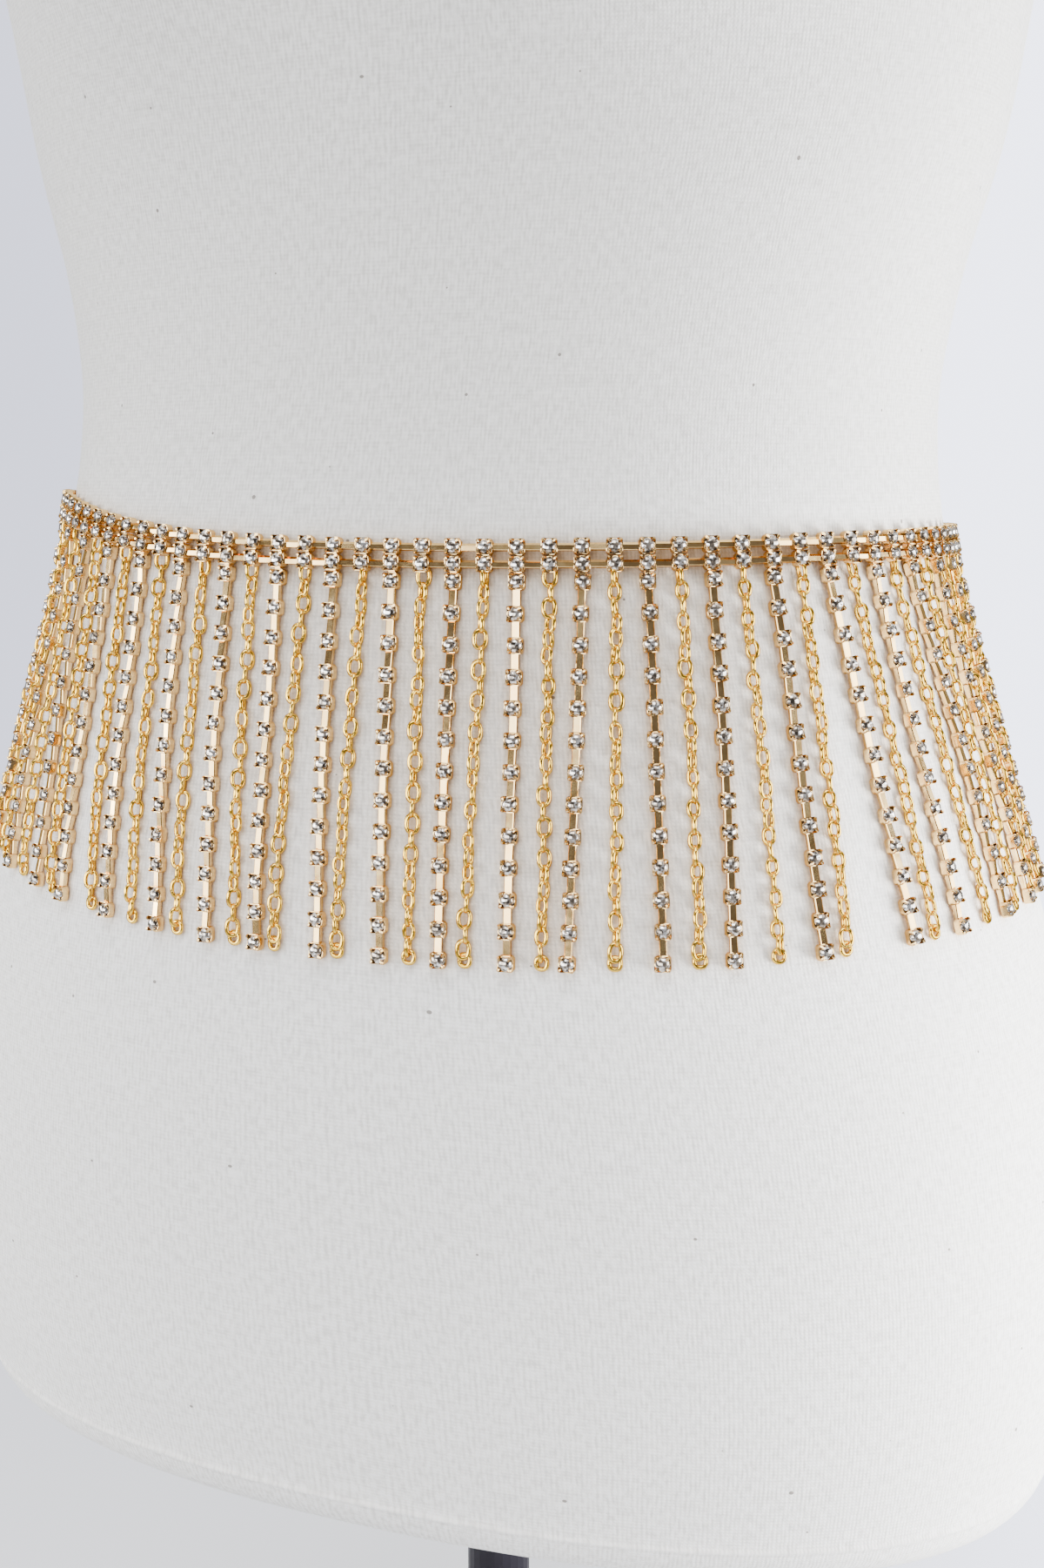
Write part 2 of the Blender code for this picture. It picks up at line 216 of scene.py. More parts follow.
# How pieces turn, in radians: bars and links by slow waves down a strand, and all at random within
# these limits. Stray is the links' sideways play.
ANY_TURN = 3.1
BAR_NOD = 0.125
BAR_NOD_RATE = 0.55
ROW_BAR_NOD = 0.04
LINK_TWIST = 0.75
LINK_TWIST_RATE = 0.37
ROW_CUP_TWIST = 0.06
ROW_CUP_NOD = 0.05
STRAND_TWIST = 0.07
STRAND_CUP_TWIST = 0.12
STRAND_CUP_NOD = 0.06
STRAND_BAR_TWIST = 0.05
STRAND_BAR_NOD = 0.03
LINK_TURN = 0.25
LINK_NOD = 0.08
LINK_STRAY = 0.00035
END_LINK_TURN = 0.2

# Clasp at centre back. Levels are pairs of inset and height.
PIECE_GAP = 0.0003
END_BAR_WIDTH = 0.0016
END_BAR_HEIGHT = 2 * CUP_HEIGHT + PIECE_GAP
END_BAR_DEPTH = 0.0018
END_BAR_CORNER = 0.0005
TONGUE_WIDTH = 0.0052
TONGUE_HEIGHT = 0.0044
TONGUE_DEPTH = 0.0012
TONGUE_CORNER = 0.0008
CLASP_BOX_HEIGHT = 0.0066
CLASP_BOX_DEPTH = 0.0026
CLASP_BOX_CORNER = 0.0011
CORNER_STEPS = 5
LEAST_CORNER = 0.00005
PLATE_FOOT = 0.0001
PLATE_BEVEL = 0.0003
FRAME_WIDTH = 0.0007
FRAME_FOOT = 0.0009
TAB_WIDTH = 0.0026
TAB_HEIGHT = 0.001848
TAB_CORNER = 0.0006
TAB_LEVELS = ((0.0, 0.0), (0.0, 0.0007), (0.0003, 0.0009))
TAB_SHIFT = -0.00052
BEAD_SIZE = 0.0011
BEAD_CORNER = 0.0005
BEAD_LEVELS = ((0.0, 0.0), (0.0, 0.0002), (0.0003, 0.0005))
SOLDER_SINK = 0.0001

# Steps for measuring round the waist, and for reading the surface's direction
RING_STEPS = 720
PROBE = 0.001

# Edges sharper than these angles stay sharp
METAL_SMOOTH = math.radians(35)
LINK_SMOOTH = math.radians(80)
FORM_SMOOTH = math.radians(50)

# Colours as red, green and blue shares of light. Runs of colour are stops, each with its place.
PLATE_GOLD = ((0.80, 0.52, 0.20), (0.88, 0.63, 0.30))
LINK_GOLD = ((0.82, 0.50, 0.05), (0.90, 0.60, 0.12))
GOLD_EDGE = (0.64, 0.42, 0.24)
# Painted reflections of the stone's facets: near black, tan like the mirrored gold prongs, and white
FOIL_REFLECTION_RAMP = ((0.0, (0.035, 0.026, 0.018)), (0.45, (0.42, 0.35, 0.28)), (1.0, (0.93, 0.93, 0.93)))
LINEN = ((0.60, (0.635, 0.625, 0.605)), (1.0, (0.875, 0.87, 0.855)))
LINEN_SPECK = (0.25, 0.23, 0.21)
# Painted warm shadow that the cloth gets where the gold shades it
LINEN_PAINTED_SHADOW = (0.82, 0.69, 0.55)
PAINT = ((0.0, (0.010, 0.009, 0.013)), (1.0, (0.020, 0.018, 0.025)))
FLOOR_COLOUR = (0.77, 0.78, 0.82)
WHITE = (1.0, 1.0, 1.0)

# Floor: half its side, and where it fades away from the stand and towards the camera's right
FLOOR_HALF = 3.2
FLOOR_FADE = (0.25, 1.2)
FLOOR_SIDE_FADE = (0.03, 0.36)

# Soft panels: turn to the camera's right and rise in degrees, distance, width, height and radiance,
# whether they light matt surfaces, and whether metal and glass mirror them
PANEL_COLUMNS = ("name", "turn", "rise", "distance", "width", "height", "radiance", "matt", "mirrored")
PANELS = (
    ("left_panel", -48, 0, 1.5, 2.2, 0.62, 3.6, True, True),
    ("left_edge", -85, 10, 1.6, 0.6, 0.9, 9.0, True, True),
    ("top_panel", -10, 60, 3.0, 2.0, 1.6, 7.0, True, True),
    ("right_panel", 75, 2, 1.5, 1.6, 0.8, 9.2, True, True),
    ("right_low", 72, -20, 0.8, 0.5, 0.25, 52.0, True, False),
    ("gleam", -50, 2, 1.45, 2.2, 0.70, 4.0, False, True),
)

# Surround, by direction: what the camera sees runs from left to right, and what lights the belt grows
# brighter above. Ranges are shares of a direction rightward, upward or back towards the camera.
BACKDROP_RANGE = (-0.26, 0.26)
BACKDROP_LIGHT = ((1.47, 1.52, 1.85), (3.7, 3.85, 4.6))
SURROUND_RANGE = (0.55, 0.85)
SURROUND_LIGHT = ((0.5, 0.5, 0.5), (1.5, 1.5, 1.5))
DARK_LIGHT = (0.165, 0.155, 0.165)
DARK_ACROSS = (-0.24, -0.10, 0.45, 0.62)
DARK_UPWARD = (-0.60, -0.45, 0.50, 0.70)
DARK_ABOVE = (0.26, 0.31, 0.50, 0.66)
DARK_BACKWARD = (0.20, 0.45)


def signed_power(value, power):
    return math.copysign(abs(value) ** power, value)


def section_slope(column, row):
    """How fast a column of SECTIONS changes with height at one of its rows."""
    low = SECTIONS[max(row - 1, 0)]
    high = SECTIONS[min(row + 1, len(SECTIONS) - 1)]
    return (high[column] - low[column]) / (high[HEIGHT] - low[HEIGHT])


def section_value(column, height):
    """A column of SECTIONS at a height, on a smooth curve through the rows."""
    row = sum(section[HEIGHT] <= height for section in SECTIONS) - 1
    row = min(max(row, 0), len(SECTIONS) - 2)
    below, above = SECTIONS[row], SECTIONS[row + 1]
    span = above[HEIGHT] - below[HEIGHT]
    t = (height - below[HEIGHT]) / span
    rise = 3 * t ** 2 - 2 * t ** 3
    lead_in = (t ** 3 - 2 * t ** 2 + t) * span
    lead_out = (t ** 3 - t ** 2) * span
    return ((1 - rise) * below[column] + rise * above[column]
            + lead_in * section_slope(column, row) + lead_out * section_slope(column, row + 1))


def form_point(angle, height, inset=0.0):
    """A point of the form's surface. The angle runs from the centre front towards +X."""
    power = 2 / section_value(ROUNDNESS, height)
    across, forward = math.sin(angle), math.cos(angle)
    depth = section_value(FRONT if forward > 0 else BACK, height) - inset
    x = (section_value(HALF_WIDTH, height) - inset) * signed_power(across, power)
    y = -depth * signed_power(forward, power)
    if forward > 0:
        sideways = (abs(x) - BUST_SIDE) / BUST_SPREAD
        upwards = (height - BUST_HEIGHT) / BUST_SPREAD
        y -= BUST_DEPTH * forward * math.exp(-sideways ** 2 - upwards ** 2)
    if height > ARMHOLE_LOW:
        x = max(-ARMHOLE_X, min(ARMHOLE_X, x))
    return Vector((x, y, FORM_UNDERSIDE + height))


def form_normal(angle, height):
    """The outward direction at a point of the form's surface."""
    around = form_point(angle + PROBE, height) - form_point(angle - PROBE, height)
    upward = form_point(angle, height + PROBE) - form_point(angle, height - PROBE)
    return around.cross(upward).normalized()


def hump_share(angle):
    """How near an angle is to the top of the hump over the -X hip, from 0 to 1."""
    return math.exp(-((angle - HUMP_ANGLE) / HUMP_SPREAD) ** 2)


def belt_height(angle):
    """The upper row's height on the form: lower at front and back, with the hump."""
    across = math.sin(angle)
    return (BELT_HEIGHT + BELT_SIDE_RISE * across ** 2 - BELT_ROLL * across
            + HUMP_HEIGHT * hump_share(angle))


def ring_angles():
    """Evenly spaced angles round the waist, with the upper row's length from the centre front to each."""
    angles = [math.pi * (2 * step / RING_STEPS - 1) for step in range(RING_STEPS + 1)]
    points = []
    for angle in angles:
        height = belt_height(angle)
        reach = BELT_OFFSET + CUP_DEPTH / 2
        points.append(form_point(angle, height) + form_normal(angle, height) * reach)
    lengths = [0.0]
    for before, after in zip(points, points[1:]):
        lengths.append(lengths[-1] + (after - before).length)
    front = lengths[RING_STEPS // 2]
    return angles, [length - front for length in lengths]


RING_ANGLES, RING_LENGTHS = ring_angles()
PERIMETER = RING_LENGTHS[-1] - RING_LENGTHS[0]


def angle_at(length):
    """The angle round the form at a length along the belt from the centre front."""
    if length > RING_LENGTHS[-1]:
        length -= PERIMETER
    return float(np.interp(length, RING_LENGTHS, RING_ANGLES))


def cup_length(cup):
    """Where a cup's centre lies along the belt, counted from the centre front."""
    return (cup - (CUP_COUNT - 1) / 2) * CUP_PITCH + MIDDLE_CUP_SHIFT


def placed(origin, upward, outward, twist=0.0, nod=0.0):
    """A place whose X, Y and Z run across, up and out, turned round Y by twist and round X by nod."""
    axes = Matrix((upward.cross(outward).normalized(), upward, outward)).transposed().to_4x4()
    return Matrix.Translation(origin) @ axes @ Matrix.Rotation(twist, 4, "Y") @ Matrix.Rotation(nod, 4, "X")


def belt_place(length, drop, lift=0.0, twist=0.0, nod=0.0):
    """A place at a length along the belt, so far under the upper row and off the belt's inner face."""
    angle = angle_at(length)
    height = belt_height(angle) - drop
    outward = form_normal(angle, height)
    upward = outward.cross(Vector((0, 0, 1)).cross(outward)).normalized()
    origin = form_point(angle, height) + outward * (BELT_OFFSET + lift)
    return placed(origin, upward, outward, twist, nod)


def is_link_strand(cup):
    return cup % 2 == 0


def strand_lean(cup):
    """Sideways run of a strand for each unit of its length, towards +X where positive."""
    sweep = SWEEP_LEAN * math.exp(-((cup - SWEEP_CUP) / SWEEP_CUPS) ** 2)
    sway = SWAY * math.sin(SWAY_RATE * cup)
    return sweep + sway + UNEVEN_LEANS.get(cup, 0.0)


def strand_length(cup):
    """The strands that hang from the hump are a little longer."""
    return STRAND_LENGTH + HUMP_EXTRA * hump_share(angle_at(cup_length(cup)))


def strand_path(cup):
    """Points down the form from a cup along its strand, each with its outward direction."""
    angle = angle_at(cup_length(cup))
    height = belt_height(angle) - ROW_PITCH - CUP_HEIGHT / 2
    step = strand_length(cup) / STRAND_STEPS
    up = Vector((0, 0, 1))
    path = []
    for _ in range(STRAND_STEPS + 1):
        point, outward = form_point(angle, height), form_normal(angle, height)
        path.append((point, outward))
        downhill = (outward * outward.z - up).normalized()
        sideways = up.cross(outward).normalized()
        move = (downhill + sideways * strand_lean(cup)).normalized() * step
        around = (form_point(angle + PROBE, height) - point) / PROBE
        lower = (form_point(angle, height - PROBE) - point) / PROBE
        angle += (move + lower * move.z).dot(around) / around.length_squared
        height += move.z
    return path


def in_scene(name, data):
    """A new object in the scene."""
    made = bpy.data.objects.new(name, data)
    bpy.context.scene.collection.objects.link(made)
    return made


class Pile:
    """Many copies of small meshes, gathered to become one object."""

    def __init__(self):
        self.points, self.loops, self.starts, self.tones = [], [], [], []
        self.point_count = 0
        self.loop_count = 0

    def add(self, shape, place, tones=()):
        """A copy of a shape (points and faces) moved by a 4 x 4 matrix, with a tone for each face."""
        points, faces = shape
        turn = np.array(place.to_3x3())
        self.points.append(points @ turn.T + np.array(place.translation))
        for face in faces:
            self.starts.append(self.loop_count)
            self.loops.extend(index + self.point_count for index in face)
            self.loop_count += len(face)
        self.point_count += len(points)
        self.tones.extend(tones)

    def to_object(self, name, surface, smooth_angle=None):
        mesh = bpy.data.meshes.new(name)
        points = np.concatenate(self.points)
        mesh.vertices.add(len(points))
        mesh.vertices.foreach_set("co", points.astype(np.float32).ravel())
        mesh.loops.add(len(self.loops))
        mesh.loops.foreach_set("vertex_index", self.loops)
        mesh.polygons.add(len(self.starts))
        mesh.polygons.foreach_set("loop_start", self.starts)
        if self.tones:
            tone = mesh.attributes.new("tone", "FLOAT", "FACE")
            tone.data.foreach_set("value", self.tones)
        mesh.update(calc_edges=True)
        mesh.validate()
        if smooth_angle is not None:
            mesh.shade_smooth()
            mesh.set_sharp_from_angle(angle=smooth_angle)
        mesh.materials.append(surface)
        return in_scene(name, mesh)


def bridge(faces, lower, upper):
    """Quads between two rings of point numbers."""
    count = len(lower)
    for index in range(count):
        after = (index + 1) % count
        faces.append((lower[index], lower[after], upper[after], upper[index]))


def close_tube(faces, rings):
    """Quads between rings of point numbers, and a face over each end."""
    for lower, upper in zip(rings, rings[1:]):
        bridge(faces, lower, upper)
    faces.append(rings[0][::-1])
    faces.append(rings[-1])


def tray_outline(half, corner):
    """Sixteen points round a square with cut corners, and whether each lies at a corner."""
    outline = []
    for side in range(4):
        turn = math.pi / 2 * side
        for share in (-1.0, -TRAY_CORNER_SHARE, TRAY_CORNER_SHARE, 1.0):
            along, off = share * (half - corner), -half
            outline.append((along * math.cos(turn) - off * math.sin(turn),
                            along * math.sin(turn) + off * math.cos(turn), abs(share) == 1.0))
    return outline


def add_claw(points, faces, turn):
    """One claw of a cup, at a turn from the X axis."""
    radial = np.array((math.cos(turn), math.sin(turn), 0.0))
    sideways = np.array((-math.sin(turn), math.cos(turn), 0.0))
    loops = []
    for index, (reach, rise, share) in enumerate(CLAW_PATH):
        before, after = CLAW_PATH[max(index - 1, 0)], CLAW_PATH[min(index + 1, len(CLAW_PATH) - 1)]
        run = np.array(after[:2]) - np.array(before[:2])
        run /= np.linalg.norm(run)
        out = radial * run[1] + np.array((0, 0, -run[0]))
        centre = radial * reach + np.array((0, 0, CLAW_ROOT + rise))
        loop = []
        for side in range(CLAW_SIDES):
            spin = 2 * math.pi * side / CLAW_SIDES
            loop.append(len(points))
            points.append(centre + sideways * math.cos(spin) * CLAW_WIDTH / 2 * share
                          + out * math.sin(spin) * CLAW_THICKNESS / 2)
        loops.append(loop)
    close_tube(faces, loops)


def cup_shape():
    """The metal of a cup, with its back at Z = 0."""
    points, faces, rings = [], [], []
    inner = TRAY_HALF - TRAY_WALL
    for half, corner, side_height, corner_height in (
            (TRAY_HALF - TRAY_FOOT, TRAY_CORNER, 0.0, 0.0),
            (TRAY_HALF, TRAY_CORNER, TRAY_FOOT_TOP, TRAY_FOOT_TOP),
            (TRAY_HALF, TRAY_CORNER, TRAY_SIDE_TOP, TRAY_CORNER_TOP),
            (inner, TRAY_INNER_CORNER, TRAY_SIDE_TOP, TRAY_CORNER_TOP),
            (inner, TRAY_INNER_CORNER, TRAY_FLOOR, TRAY_FLOOR)):
        ring = []
        for x, y, at_corner in tray_outline(half, corner):
            ring.append(len(points))
            points.append((x, y, corner_height if at_corner else side_height))
        rings.append(ring)
    close_tube(faces, rings)
    for corner in range(4):
        add_claw(points, faces, math.pi / 4 + math.pi / 2 * corner)
    return np.array([tuple(point) for point in points]), faces


def stone_shape():
    """A round cut stone: a table with stars, kites and halves round it, over a short straight base."""
    points, faces = [(0.0, 0.0, STONE_TOP - STONE_DISH)], []
    around = 2 * STONE_SIDES

    def ring(count, radius, height, shift=0.0):
        numbers = []
        for index in range(count):
            turn = 2 * math.pi * (index + shift) / count
            numbers.append(len(points))
            points.append((radius * math.cos(turn), radius * math.sin(turn), height))
        return numbers

    table = ring(STONE_SIDES, STONE_TABLE, STONE_TOP)
    crown = ring(STONE_SIDES, STONE_CROWN_RADIUS, STONE_CROWN, 0.5)
    girdle = ring(around, STONE_RADIUS, STONE_GIRDLE)
    base = ring(around, STONE_BASE_RADIUS, STONE_BASE)
    for index in range(STONE_SIDES):
        after = (index + 1) % STONE_SIDES
        faces.append((0, table[index], table[after]))
        faces.append((table[index], crown[index], table[after]))
        faces.append((table[index], crown[index - 1], girdle[2 * index], crown[index]))
        faces.append((crown[index], girdle[2 * index], girdle[2 * index + 1]))
        faces.append((crown[index], girdle[2 * index + 1], girdle[(2 * index + 2) % around]))
    bridge(faces, base, girdle)
    faces.append(base[::-1])
    return np.array(points), faces


def bar_shape(length, lower, upper):
    """A flat bar along X with its front edges bevelled below and above, its back at Z = 0."""
    half = BAR_WIDTH / 2
    outline = ((-half, 0.0), (-half, BAR_DEPTH - lower), (lower - half, BAR_DEPTH),
               (half - upper, BAR_DEPTH), (half, BAR_DEPTH - upper), (half, 0.0))
    points, faces = [], []
    for x in (-length / 2, length / 2):
        points.extend((x, y, z) for y, z in outline)
    count = len(outline)
    near, far = list(range(count)), list(range(count, 2 * count))
    bridge(faces, far, near)
    faces.append(near)
    faces.append(far[::-1])
    return np.array(points), faces


def plate_shape(width, height, corner, levels):
    """A plate with round corners in the XY plane, drawn in by each level's inset at its height in Z."""
    points, faces, rings = [], [], []
    for inset, z in levels:
        radius = max(corner - inset, LEAST_CORNER)
        ring = []
        for quarter, (side, rise) in enumerate(((1, 1), (-1, 1), (-1, -1), (1, -1))):
            for step in range(CORNER_STEPS):
                turn = math.pi / 2 * (quarter + step / (CORNER_STEPS - 1))
                ring.append(len(points))
                points.append((side * (width / 2 - corner) + radius * math.cos(turn),
                               rise * (height / 2 - corner) + radius * math.sin(turn), z))
        rings.append(ring)
    close_tube(faces, rings)
    return np.array(points), faces


def link_shape(width, length):
    """An oval wire link that lies in the XY plane with its long side along Y."""
    points, faces, loops = [], [], []
    half_width, half_length = width / 2 - LINK_WIRE, length / 2 - LINK_WIRE
    for step in range(LINK_STEPS):
        turn = 2 * math.pi * step / LINK_STEPS
        centre = Vector((half_width * signed_power(math.cos(turn), LINK_SQUARENESS),
                         half_length * signed_power(math.sin(turn), LINK_SQUARENESS), 0))
        normal = Vector((math.cos(turn) * half_length, math.sin(turn) * half_width, 0)).normalized()
        loop = []
        for side in range(LINK_SIDES):
            spin = 2 * math.pi * side / LINK_SIDES
            loop.append(len(points))
            points.append(tuple(centre + normal * math.cos(spin) * LINK_WIRE
                                + Vector((0, 0, math.sin(spin) * LINK_WIRE))))
        loops.append(loop)
    for index in range(LINK_STEPS):
        bridge(faces, loops[(index + 1) % LINK_STEPS], loops[index])
    return np.array(points), faces


CUP = cup_shape()
STONE = stone_shape()
ROW_BAR = bar_shape(CUP_PITCH - 2 * TRAY_HALF + BAR_OVERLAP, ROW_BAR_LOW_BEVEL, ROW_BAR_HIGH_BEVEL)
HANGER = bar_shape(HANGER_LENGTH, HANGER_BEVEL, HANGER_BEVEL)
LARGE_LINK = link_shape(LINK_WIDTH, LINK_LENGTH)
SMALL_LINK = link_shape(SMALL_LINK_WIDTH, SMALL_LINK_LENGTH)
END_LINK = link_shape(END_LINK_WIDTH, END_LINK_LENGTH)
QUARTER_TURN = Matrix.Rotation(math.pi / 2, 4, "Z")


class Strand:
    """Places at any length down a strand."""

    def __init__(self, cup):
        path = strand_path(cup)
        self.full = strand_length(cup)
        self.lengths = [self.full * step / STRAND_STEPS for step in range(STRAND_STEPS + 1)]
        self.points = np.array([point for point, _ in path])
        self.outwards = np.array([outward for _, outward in path])

    def value(self, table, length):
        """A row of a table of vectors at a length, between the two rows nearest to it."""
        return Vector([np.interp(length, self.lengths, table[:, axis]) for axis in range(3)])

    def at(self, length, lift, twist=0.0, nod=0.0, aside=0.0):
        """A place at a length down the strand, lifted off the form and moved aside."""
        outward = self.value(self.outwards, length)
        upward = self.value(self.points, length - PROBE) - self.value(self.points, length + PROBE)
        upward.normalize()
        outward = (outward - upward * outward.dot(upward)).normalized()
        across = upward.cross(outward).normalized()
        origin = self.value(self.points, length) + outward * lift + across * aside
        return placed(origin, upward, outward, twist, nod)


def mixed(amount):
    """A seeded number from -amount to amount."""
    return chance.uniform(-amount, amount)


def add_cup(place, metal, stones):
    """A cup and its stone, which is turned at random and has a painted reflection tone for each facet."""
    metal.add(CUP, place)
    stone_place = place @ Matrix.Rotation(mixed(ANY_TURN), 4, "Z")
    # Painted reflections: each facet gets a random reflection tone
    stones.add(STONE, stone_place, [chance.choice(FACET_REFLECTION_TONES) for _ in STONE[1]])


def build_row(drop, metal, stones):
    """A row of the belt: cups with their stones, and the bars between them."""
    for cup in range(CUP_COUNT):
        place = belt_place(cup_length(cup), drop, 0.0, mixed(ROW_CUP_TWIST), mixed(ROW_CUP_NOD))
        add_cup(place, metal, stones)
        if cup < CUP_COUNT - 1:
            nod = mixed(BAR_NOD) - ROW_BAR_NOD
            metal.add(ROW_BAR, belt_place(cup_length(cup + 0.5), drop, BAR_LIFT, 0.0, nod))


def build_cup_strand(cup, metal, stones):
    """A hanger under the lower row's cup, and then cups with bars between them."""
    strand = Strand(cup)
    pitch = (strand.full - FIRST_CUP_DROP - CUP_HEIGHT / 2) / (STRAND_CUPS - 1)
    bar = bar_shape(pitch - 2 * TRAY_HALF + BAR_OVERLAP, STRAND_BAR_BEVEL, STRAND_BAR_BEVEL)
    slow = mixed(STRAND_TWIST)
    drift = mixed(ANY_TURN)
    root = strand.at(FIRST_CUP_DROP - TRAY_HALF - HANGER_DROP, STRAND_OFFSET + HANGER_LIFT)
    metal.add(HANGER, root @ QUARTER_TURN)
    for index in range(STRAND_CUPS):
        length = FIRST_CUP_DROP + pitch * index
        twist = slow + mixed(STRAND_CUP_TWIST)
        add_cup(strand.at(length, STRAND_OFFSET, twist, mixed(STRAND_CUP_NOD)), metal, stones)
        if index < STRAND_CUPS - 1:
            nod = BAR_NOD * math.sin(drift + index * BAR_NOD_RATE) + mixed(STRAND_BAR_NOD)
            twist = slow + mixed(STRAND_BAR_TWIST)
            place = strand.at(length + pitch / 2, STRAND_OFFSET + BAR_LIFT, twist, nod)
            metal.add(bar, place @ QUARTER_TURN)


def build_link_strand(cup, links):
    """Large and small links by turns, each across the one above it, and a round link at the end."""
    strand = Strand(cup)
    chain = strand.full - LINK_WIDTH / 2
    count = round(chain / LINK_PITCH)
    drift = mixed(ANY_TURN)
    for index in range(count):
        turn = math.pi / 4 + LINK_TWIST * math.sin(drift + index * LINK_TWIST_RATE) + mixed(LINK_TURN)
        shape = LARGE_LINK
        if index % 2:
            shape = SMALL_LINK
            turn -= math.pi / 2
        length = FIRST_LINK_DROP + chain / count * index
        links.add(shape, strand.at(length, LINK_LIFT, turn, mixed(LINK_NOD), mixed(LINK_STRAY)))
    links.add(END_LINK, strand.at(chain, END_LINK_LIFT, mixed(END_LINK_TURN)))


def build_clasp(surface):
    """End plates with a soldered bead at each row, and a press tongue that is shut into a framed box."""
    start = cup_length(CUP_COUNT - 1) + CUP_WIDTH / 2
    end = PERIMETER + cup_length(0) - CUP_WIDTH / 2
    box_width = end - start - 2 * END_BAR_WIDTH - TONGUE_WIDTH - 5 * PIECE_GAP
    tab = plate_shape(TAB_WIDTH, TAB_HEIGHT, TAB_CORNER, TAB_LEVELS)
    bead = plate_shape(BEAD_SIZE, BEAD_SIZE, BEAD_CORNER, BEAD_LEVELS)
    made = []
    for name, width, height, depth, corner in (
            ("end_bar_right", END_BAR_WIDTH, END_BAR_HEIGHT, END_BAR_DEPTH, END_BAR_CORNER),
            ("clasp_tongue", TONGUE_WIDTH, TONGUE_HEIGHT, TONGUE_DEPTH, TONGUE_CORNER),
            ("clasp_box", box_width, CLASP_BOX_HEIGHT, CLASP_BOX_DEPTH, CLASP_BOX_CORNER),
            ("end_bar_left", END_BAR_WIDTH, END_BAR_HEIGHT, END_BAR_DEPTH, END_BAR_CORNER)):
        start += PIECE_GAP
        place = belt_place(start + width / 2, ROW_PITCH / 2)
        start += width
        levels = [(PLATE_FOOT, 0.0), (0.0, PLATE_FOOT), (0.0, depth - PLATE_BEVEL), (PLATE_BEVEL, depth)]
        if name == "clasp_box":
            levels += [(FRAME_WIDTH, depth), (FRAME_FOOT, depth - PLATE_BEVEL)]
        metal = Pile()
        metal.add(plate_shape(width, height, corner, levels), place)
        front = place @ Matrix.Translation((0, 0, depth - SOLDER_SINK))
        if name == "clasp_tongue":
            metal.add(tab, front @ Matrix.Translation((TAB_SHIFT, 0, 0)))
        if name.startswith("end_bar"):
            for rise in (-ROW_PITCH / 2, ROW_PITCH / 2):
                metal.add(bead, front @ Matrix.Translation((0, rise, 0)))
        made.append((name, metal.to_object(f"{name}_metal", surface, METAL_SMOOTH)))
    return made


def build_form(surface):
    """The covered form: rounded rim, body, shoulders and neck, with its girth and height as UVs."""
    top = SECTIONS[-1][HEIGHT]
    low = SECTIONS[0][HEIGHT]
    turns = [math.pi / 2 * step / RIM_STEPS for step in range(RIM_STEPS)]
    for step in range(-SEAM_STEPS, SEAM_STEPS + 1):
        turns.append(math.acos(1 - (SEAM_HEIGHT + SEAM_WIDTH * step / SEAM_STEPS) / RIM_RADIUS))
    loops = []
    for turn in sorted(turns):
        height = RIM_RADIUS * (1 - math.cos(turn))
        ridge = SEAM_PROUD * math.exp(-(SEAM_FALL * (height - SEAM_HEIGHT) / SEAM_WIDTH) ** 2)
        loops.append((RIM_RADIUS * (1 - math.sin(turn)) - ridge, height))
    rows = math.ceil((top - NECK_EDGE - low) / FORM_ROW_STEP)
    loops += [(0.0, low + (top - NECK_EDGE - low) * row / rows) for row in range(rows + 1)]
    loops += [(NECK_EDGE * NECK_BEND, top - NECK_EDGE * NECK_BEND), (NECK_EDGE, top)]
    points, faces, wraps = [], [], []
    for inset, height in loops:
        for column in range(FORM_COLUMNS):
            point = form_point(2 * math.pi * column / FORM_COLUMNS, max(height, low), inset)
            point.z = FORM_UNDERSIDE + height
            points.append(tuple(point))
    count = len(loops)
    for row in range(count - 1):
        for column in range(FORM_COLUMNS):
            after = (column + 1) % FORM_COLUMNS
            faces.append((row * FORM_COLUMNS + column, row * FORM_COLUMNS + after,
                          (row + 1) * FORM_COLUMNS + after, (row + 1) * FORM_COLUMNS + column))
            for r, c in ((row, column), (row, column + 1), (row + 1, column + 1), (row + 1, column)):
                wraps.append((PERIMETER * c / FORM_COLUMNS, loops[r][1] - loops[r][0]))
    bottom = list(range(FORM_COLUMNS))[::-1]
    crown = [(count - 1) * FORM_COLUMNS + column for column in range(FORM_COLUMNS)]
    for cap in (bottom, crown):
        faces.append(tuple(cap))
        wraps.extend((points[index][0], points[index][1]) for index in cap)
    mesh = bpy.data.meshes.new("form_cover")
    mesh.from_pydata(points, [], faces)
    layer = mesh.uv_layers.new(name="wrap")
    layer.data.foreach_set("uv", np.array(wraps, np.float32).ravel())
    mesh.shade_smooth()
    mesh.set_sharp_from_angle(angle=FORM_SMOOTH)
    mesh.materials.append(surface)
    return in_scene("form_cover", mesh)


def feed(tree, socket, value):
    """Link an output to a socket, or set a plain value on the socket."""
    if isinstance(value, bpy.types.NodeSocket):
        tree.links.new(value, socket)
    else:
        socket.default_value = value


def settle(tree, shader, **values):
    """Settings of a node. A name with an underscore for each space names an input."""
    for name, value in values.items():
        if hasattr(shader, name):
            setattr(shader, name, value)
        else:
            feed(tree, shader.inputs[name.replace("_", " ")], value)
    return shader


def node(tree, kind, **values):
    """A new shader node with its settings."""
    return settle(tree, tree.nodes.new(kind), **values)


def combined(tree, operation, *measures):
    """Measures and numbers joined by one operation."""
    made = node(tree, "ShaderNodeMath", operation=operation)
    for socket, measure in zip(made.inputs, measures):
        feed(tree, socket, measure)
    return made.outputs["Value"]


def ranged(tree, source, limits, start=0.0, end=1.0, **settings):
    """A measure carried over from its own limits to a start and an end."""
    made = node(tree, "ShaderNodeMapRange", Value=source, From_Min=limits[0], From_Max=limits[1],
                To_Min=start, To_Max=end, **settings)
    return made.outputs["Result"]


